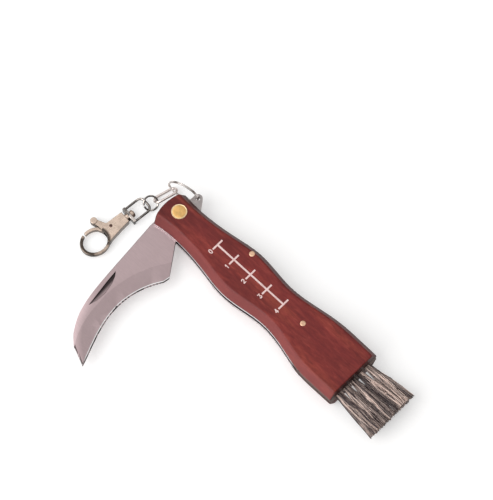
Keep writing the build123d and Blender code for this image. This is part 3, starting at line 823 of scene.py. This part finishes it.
class KNIFE_OT_pins(bpy.types.Operator):
    """Turn the pivot and the two handle pins with their heads"""

    bl_idname = "knife.pins"
    bl_label = "Brass pins"

    def execute(self, context):
        metal = context.scene.knife_metal
        brass = brass_finish("pin_brass", tuple(metal.brass))
        copper = brass_finish("small_pin_copper", tuple(metal.copper))
        pivot_profile = [
            (0.0, 3.3), (0.12, 3.58), (1.0, 3.58), (1.0, 2.0), (13.5, 2.0), (13.5, 3.58), (14.56, 3.58),
            (14.66, 3.5), (14.68, 3.34), (14.6, 3.22), (14.6, 3.06), (14.66, 2.9), (14.69, 1.8), (14.7, 0.8),
        ]
        pivot = turned("pivot_rivet", pivot_profile, 96)
        finish_piece(pivot, "handle", "pin_brass", brass, "pivot_pin")
        pin_profile = [(0.0, 1.1), (0.1, 1.29), (14.4, 1.29), (14.49, 1.16), (14.5, 0.6)]
        for name, centre in (("middle", MIDDLE_PIN), ("rear", REAR_PIN)):
            pin = turned(f"{name}_rivet", pin_profile, 48, centre)
            finish_piece(pin, "handle", "pin_brass", copper, f"{name}_pin")
        return {"FINISHED"}


class KNIFE_OT_blade(bpy.types.Operator):
    """Ease the blade's edges and give its ground faces their own tones"""

    bl_idname = "knife.blade"
    bl_label = "Blade"

    def execute(self, context):
        def stays_sharp(place):
            in_bore = math.hypot(place.x, place.y) < BORE_CLEARING
            on_a_grind = abs(place.z - MID_HEIGHT) < GRIND_REACH
            return in_bore or on_a_grind or place.y < EASED_TO

        blade = solid_copy("blade", "ground_blade")
        soften(blade, BLADE_ROUND, 20, segments=2, leave=stays_sharp)
        smooth(blade, 2)
        steel = blade_finish(tuple(context.scene.knife_metal.blade))
        finish_piece(blade, "blade", "blade_steel", steel, "blade")
        return {"FINISHED"}


# The brush


def bristle_kinds(radius, draws):
    """A few bristles of unit length along X, each with its own waves, drawn out step by step."""
    kinds = []
    for kind in range(BRISTLE_KINDS):
        bpy.ops.mesh.primitive_circle_add(
            vertices=5, radius=radius, fill_type="NGON", rotation=(0, math.pi / 2, 0)
        )
        bristle = newest(f"bristle_kind_{kind}")
        place(bristle)
        edit(bristle)
        size = draws.uniform(0.25, 0.7) * MM
        start = draws.uniform(0, FULL_TURN)
        turns = draws.uniform(0.8, 2.0)
        lean = draws.uniform(-0.5, 0.5)
        previous = 0.0
        for step in range(1, BRISTLE_STEPS + 1):
            free = max(0.0, step / BRISTLE_STEPS - STRAIGHT_SHARE)
            wave = size * (math.sin(turns * FULL_TURN * free + start) - math.sin(start))
            side = wave - previous
            previous = wave
            extrude((1.0 / BRISTLE_STEPS, side, side * lean))
        bpy.ops.transform.resize(value=(1, 0.55, 0.55))
        close_up(bristle, 60)
        kinds.append(bristle)
    return kinds


def set_bristle(kind, start, end, turn, tone):
    """A copy of a bristle that reaches from its root to its tip, with its tone."""
    strand = kind.copy()
    strand.data = kind.data.copy()
    bpy.context.scene.collection.objects.link(strand)
    way = end - start
    reach = Matrix(((way.x, 0, 0, start.x), (way.y, 1, 0, start.y), (way.z, 0, 1, start.z), (0, 0, 0, 1)))
    strand.data.transform(reach @ Matrix.Rotation(turn, 4, "X"))
    values = strand.data.attributes.new("tone", "FLOAT", "POINT")
    values.data.foreach_set("value", [tone] * len(strand.data.vertices))
    return strand


def lock_of_bristles(kinds, draws, settings, number, root_y, tip_y):
    """The bristles of one lock: near each other, of two shapes, and much of one tone."""
    angle = LOCK_TURN * number + draws.uniform(-0.3, 0.3)
    away = math.sqrt((number + 0.4) / settings.locks)
    middle = (away * math.cos(angle), away * math.sin(angle))
    drift = draws.uniform(-0.55, 0.55)
    lock_kinds = draws.sample(kinds, 2)
    lock_turn = draws.uniform(0, FULL_TURN)
    is_light = draws.random() < 0.48
    lock_tone = draws.uniform(0.6, 1.0) if is_light else draws.uniform(0.0, 0.22)
    strands = []
    for strand in range(settings.per_lock):
        across = middle[0] + draws.gauss(0, 0.09)
        up = middle[1] + draws.gauss(0, 0.16)
        size = max(1.0, math.hypot(across, up))
        across, up = across / size, up / size
        start = Vector((
            BRUSH_MOUTH - BRISTLE_SUNK,
            root_y + across * ROOT_SPREAD[0] / 2,
            MID_HEIGHT + up * ROOT_SPREAD[1] / 2,
        ))
        end = Vector((
            BRUSH_TIP - draws.uniform(0.02, 0.55) * MM,
            tip_y + (across + drift) * TIP_SPREAD[0] / 2,
            MID_HEIGHT + up * TIP_SPREAD[1] / 2,
        ))
        tone = min(1.0, max(0.0, lock_tone + draws.gauss(0, 0.16)))
        turn = lock_turn + draws.gauss(0, 0.3)
        strands.append(set_bristle(draws.choice(lock_kinds), start, end, turn, tone))
    return strands


class KNIFE_OT_brush(bpy.types.Operator):
    """Draw the bristles and set them into the block in five tufts of locks"""

    bl_idname = "knife.brush"
    bl_label = "Brush"

    def execute(self, context):
        settings = context.scene.knife_brush
        draws = random.Random(settings.seed)
        bristle_material = bristle_finish(settings)
        paint(block_finish(), "brush_block")
        kinds = bristle_kinds(settings.radius, draws)
        for number in range(TUFT_COUNT):
            share = (number + 0.5) / TUFT_COUNT
            root_y = TUFT_ROOTS[0] + share * (TUFT_ROOTS[1] - TUFT_ROOTS[0])
            tip_y = TUFT_TIPS[0] + share * (TUFT_TIPS[1] - TUFT_TIPS[0])
            strands = []
            for lock in range(settings.locks):
                strands += lock_of_bristles(kinds, draws, settings, lock, root_y, tip_y)
            only(*strands)
            bpy.ops.object.join()
            tuft = newest(f"brush_tuft_{number + 1}")
            finish_piece(tuft, "handle", "bristle", bristle_material, f"bristle_tuft_{number + 1}")
        for kind in kinds:
            bpy.data.objects.remove(kind)
        return {"FINISHED"}


# The chain


def split_ring_wire():
    """A flat wire wound nearly twice: one turn, a step across, and the other turn."""
    bpy.ops.mesh.primitive_plane_add(size=1.0)
    wire = newest("split_ring_wire")
    wire.rotation_euler = (math.pi / 2, 0, 0)
    wire.scale = (RING_DEPTH, RING_TURN_WIDTH, 1)
    bpy.ops.object.transform_apply(location=False, rotation=True, scale=True)
    edit(wire)
    bpy.ops.mesh.bevel(offset=RING_CORNER, segments=2, affect="VERTICES")
    bpy.ops.mesh.select_all(action="SELECT")
    bpy.ops.transform.translate(value=(RING_RADIUS, 0, -RING_STEP / 2))
    turn_about(math.radians(RING_START))
    part = (RING_END - RING_START) / RING_PARTS
    middles = [RING_START + part * (number + 0.5) for number in range(RING_PARTS)]
    crossing = [STEP_START < middle < STEP_END for middle in middles]
    for crosses in crossing:
        extrude()
        turn_about(math.radians(part))
        if crosses:
            bpy.ops.transform.translate(value=(0, 0, RING_STEP / sum(crossing)))
    close_up(wire, 40)
    return wire


def link_wire():
    """A round wire along two straight sides and two half turns, closed on itself."""
    bpy.ops.mesh.primitive_circle_add(
        vertices=20, radius=LINK_WIRE, location=(-LINK_HALF, -LINK_SIDE, 0), rotation=(0, math.pi / 2, 0)
    )
    wire = newest("oval_link_wire")
    edit(wire)
    for way in (1, -1):
        extrude((way * 2 * LINK_HALF, 0, 0))
        for part in range(LINK_PARTS):
            extrude()
            turn_about(math.pi / LINK_PARTS, (way * LINK_HALF, 0, 0))
    bpy.ops.mesh.select_all(action="SELECT")
    bpy.ops.mesh.remove_doubles(threshold=LINK_SEAM)
    close_up(wire, 60)
    return wire


def jump_wire():
    """A round wire bent into a ring with a small cut between its ends."""
    start = (JUMP_RADIUS, 0, 0)
    bpy.ops.mesh.primitive_circle_add(
        vertices=16, radius=JUMP_WIRE, fill_type="NGON", location=start, rotation=(math.pi / 2, 0, 0)
    )
    wire = newest("jump_ring_wire")
    edit(wire)
    turn_about(math.radians(JUMP_GAP / 2))
    for part in range(JUMP_PARTS):
        extrude()
        turn_about(math.radians((360 - JUMP_GAP) / JUMP_PARTS))
    close_up(wire, 60)
    return wire


def dark_wire_finish(name, colour, side_shade, side_shade_end, glints):
    """Nickel wire, darker as a painted dark reflection, with painted glints and painted side shade along it.
    """
    return cast_finish(name, tinted(colour, 0.95), 0.14, side_shade, (0.4, side_shade_end), glints=glints)


class KNIFE_OT_chain(bpy.types.Operator):
    """Wind the split ring and bend the oval link and the jump ring"""

    bl_idname = "knife.chain"
    bl_label = "Ring, link and jump ring"

    def execute(self, context):
        metal = context.scene.knife_metal
        # Lit and shaded copies of one nickel: the link paler as a painted highlight, the wire darker as a
        # painted dark reflection
        bright = cast_finish("ring_nickel", tuple(metal.ring), 0.2, 0.7)
        pale = cast_finish("link_nickel", tuple(metal.link), 0.3, 0.6)
        dark = dark_wire_finish("wire_nickel", tuple(metal.wire), 0.2, 0.95, (3.0, 1.0, 2.0))

        ring = split_ring_wire()
        heading = (math.cos(RING_HEADING), math.sin(RING_HEADING), 0)
        place(ring, axes(RING_CENTRE, heading, (-heading[1], heading[0], 0)))
        finish_piece(ring, "ring", "chain_nickel", bright, "split_ring")

        link = link_wire()
        place(link, axes(LINK_CENTRE, LINK_WAY, LINK_UP))
        finish_piece(link, "link", "chain_nickel", pale, "oval_link")

        jump = jump_wire()
        level = math.sin(JUMP_TILT)
        lean = (level * math.cos(JUMP_WAY), level * math.sin(JUMP_WAY), math.cos(JUMP_TILT))
        place(jump, axes(JUMP_CENTRE, (lean[1], -lean[0], 0), lean))
        finish_piece(jump, "jump", "chain_nickel", dark, "jump_ring")
        return {"FINISHED"}


# The snap


def off_the_rims(rivet, outer, inner):
    """A test for the snap's edges that stay sharp: those off its rims, and those by the rivet."""

    def stays_sharp(place):
        height = abs(place.z - SNAP_ORIGIN.z)
        by_the_rivet = Vector((place.x - rivet.x, place.y - rivet.y)).length < RIVET_CLEARING
        on_a_rim = height > outer or abs(height - inner) < AT_A_RIM
        return by_the_rivet or not on_a_rim

    return stays_sharp


class KNIFE_OT_snap(bpy.types.Operator):
    """Round the cast snap and its trigger, and turn its stem and rivet"""

    bl_idname = "knife.snap"
    bl_label = "Trigger snap"

    def execute(self, context):
        metal = context.scene.knife_metal
        nickel = tuple(metal.nickel)
        cast = cast_finish("snap_nickel", nickel, 0.22, 0.2, (0.3, 0.97), painted_loop_reflection=True)
        lever = cast_finish("lever_nickel", tinted(nickel, 0.9), 0.22, 0.22, (0.3, 0.96))
        dark_rivet = cast_finish("rivet_steel", (0.2, 0.12, 0.1), 0.3, 0.3)
        dark = dark_wire_finish("bail_nickel", tuple(metal.wire), 0.12, 0.92, (1.0, 5.0, 2.0))
        heading = Vector((math.cos(SNAP_HEADING), math.sin(SNAP_HEADING), 0))
        rivet = axes(SNAP_ORIGIN, heading, (0, 0, 1)) @ RIVET_IN_SNAP

        castings = (
            ("snap_hook", "snap_body", HOOK_ROUND, HOOK_RIMS, "snap", cast),
            ("snap_trigger", "snap_lever", LEVER_ROUND, LEVER_RIMS, "trigger", lever),
        )
        for node, name, width, rims, body, material in castings:
            piece = solid_copy(node, name)
            soften(piece, width, 38, leave=off_the_rims(rivet, *rims))
            smooth(piece, 40)
            weigh_normals(piece)
            finish_piece(piece, body, "snap_nickel", material, node)

        bail = solid_copy("swivel_bail", "bail_casting")
        soften(bail, BAIL_ROUND, 50)
        smooth(bail, 40)
        finish_piece(bail, "bail", "snap_nickel", dark, "swivel_bail")

        stem_profile = [
            (-3.6, 0.7), (-3.55, 1.15), (-3.38, 1.45), (-3.15, 1.66), (-2.9, 1.74),
            (-1.9, 1.74), (-1.82, 1.66), (-1.82, 0.94), (1.8, 0.94),
        ]
        stem = turned("swivel_knob", stem_profile, 40)
        place(stem, axes(SNAP_ORIGIN, (0, 0, 1), heading))
        finish_piece(stem, "snap", "snap_nickel", lever, "swivel_stem")

        rivet_profile = [(-2.0, 0.55), (-1.92, 0.72), (1.92, 0.72), (2.0, 0.62), (2.0, 0.36), (1.6, 0.3)]
        head = turned("hollow_rivet", rivet_profile, 32)
        place(head, Matrix.Translation(rivet))
        finish_piece(head, "snap", "snap_nickel", dark_rivet, "trigger_rivet")
        return {"FINISHED"}


# The stage


def studio_floor(settings):
    """A wide matte floor, whitened for the eye and for mirrors, but not for the light on the knife."""
    bpy.ops.object.select_all(action="DESELECT")
    bpy.ops.mesh.primitive_plane_add(size=FLOOR_SIDE, location=(0, 0, FLOOR_HEIGHT))
    floor = newest("studio_floor")
    look = new_look("studio_floor")
    shader = look.node("ShaderNodeBsdfDiffuse", {"Color": rgba(settings.floor), "Roughness": 0.0})
    light_path = look.node("ShaderNodeLightPath").outputs
    mirrored = look.maths("MAXIMUM", light_path["Is Glossy Ray"], light_path["Is Transmission Ray"])
    seen = look.maths("MAXIMUM", light_path["Is Camera Ray"], mirrored)
    strength = look.times(seen, settings.glow)
    glow = look.node("ShaderNodeEmission", {"Color": (1, 1, 1, 1), "Strength": strength})
    both = look.node("ShaderNodeAddShader", {0: shader.outputs[0], 1: glow.outputs[0]})
    look.node("ShaderNodeOutputMaterial", {"Surface": both.outputs[0]})
    floor.data.materials.append(look.owner)


def studio_sky(strength):
    """A world that is pale above and warm and dark at the level of the floor."""
    sky = Look(bpy.data.worlds.new("studio_world"))
    stops = [
        (0.0, (0.1, 0.07, 0.055)),
        (0.3, (0.16, 0.12, 0.1)),
        (0.45, (0.55, 0.52, 0.5)),
        (0.7, (0.92, 0.91, 0.9)),
        (1.0, (1.0, 1.0, 1.0)),
    ]
    colour = sky.ramp(sky.parts_of("Generated")["Z"], stops)
    background = sky.node("ShaderNodeBackground", {"Color": colour, "Strength": strength})
    sky.node("ShaderNodeOutputWorld", {"Surface": background.outputs[0]})
    return sky.owner


def studio_camera():
    """A camera far away, so that a millimetre is as many pixels all over the knife."""
    back = Vector((
        math.sin(CAMERA_AZIMUTH) * math.cos(CAMERA_ELEVATION),
        -math.cos(CAMERA_AZIMUTH) * math.cos(CAMERA_ELEVATION),
        math.sin(CAMERA_ELEVATION),
    ))
    data = bpy.data.cameras.new("camera")
    data.lens = CAMERA_LENS
    data.sensor_fit = "AUTO"
    data.sensor_width = CAMERA_SENSOR
    data.clip_start = CAMERA_NEAR
    data.clip_end = CAMERA_FAR
    camera = bpy.data.objects.new("camera", data)
    bpy.context.scene.collection.objects.link(camera)
    camera.location = CAMERA_AIM + back * (PICTURE_SIDE / PIXELS_A_MM * MM * CAMERA_LENS / CAMERA_SENSOR)
    camera.rotation_mode = "QUATERNION"
    camera.rotation_quaternion = (-back).to_track_quat("-Z", "Y")
    return camera


def lamp(name, way, width, power):
    """A soft area lamp that points at the knife from some way off."""
    data = bpy.data.lights.new(name, "AREA")
    data.shape = "DISK"
    data.size = width
    data.energy = power
    made = bpy.data.objects.new(name, data)
    bpy.context.scene.collection.objects.link(made)
    made.location = LAMP_AIM + way
    made.rotation_mode = "QUATERNION"
    made.rotation_quaternion = (-way).to_track_quat("-Z", "Y")


class KNIFE_OT_stage(bpy.types.Operator):
    """Set the floor, the soft lamps, the world and the camera"""

    bl_idname = "knife.stage"
    bl_label = "Stage"

    def execute(self, context):
        settings = context.scene.knife_stage
        scene = context.scene
        studio_floor(settings)
        scene.world = studio_sky(settings.sky)
        scene.camera = studio_camera()
        lamp("key_lamp", KEY_WAY, KEY_WIDTH, settings.key)
        lamp("fill_lamp", FILL_WAY, FILL_WIDTH, settings.fill)
        scene.view_settings.view_transform = "Standard"
        return {"FINISHED"}


# The add-on


PIECES = (
    KNIFE_OT_scales,
    KNIFE_OT_steel,
    KNIFE_OT_pins,
    KNIFE_OT_blade,
    KNIFE_OT_brush,
    KNIFE_OT_chain,
    KNIFE_OT_snap,
    KNIFE_OT_stage,
)
SETTINGS = (
    (WoodSettings, "knife_wood"),
    (MetalSettings, "knife_metal"),
    (BrushSettings, "knife_brush"),
    (StageSettings, "knife_stage"),
)


class KNIFE_PT_panel(bpy.types.Panel):
    """Lists the knife's pieces and their settings"""

    bl_label = "Mushroom knife"
    bl_idname = "KNIFE_PT_panel"
    bl_space_type = "VIEW_3D"
    bl_region_type = "UI"
    bl_category = "Knife"

    def draw(self, context):
        for group, name in SETTINGS:
            box = self.layout.box()
            for setting in group.__annotations__:
                box.prop(getattr(context.scene, name), setting)
        for piece in PIECES:
            self.layout.operator(piece.bl_idname)


def register():
    for group, name in SETTINGS:
        bpy.utils.register_class(group)
        setattr(bpy.types.Scene, name, bpy.props.PointerProperty(type=group))
    for piece in (*PIECES, KNIFE_PT_panel):
        bpy.utils.register_class(piece)


def unregister():
    for piece in reversed((*PIECES, KNIFE_PT_panel)):
        bpy.utils.unregister_class(piece)
    for group, name in reversed(SETTINGS):
        delattr(bpy.types.Scene, name)
        bpy.utils.unregister_class(group)


def main():
    """Runs each operator in order."""
    register()
    for piece in PIECES:
        family, name = piece.bl_idname.split(".")
        getattr(getattr(bpy.ops, family), name)()


if __name__ == "__main__":
    main()
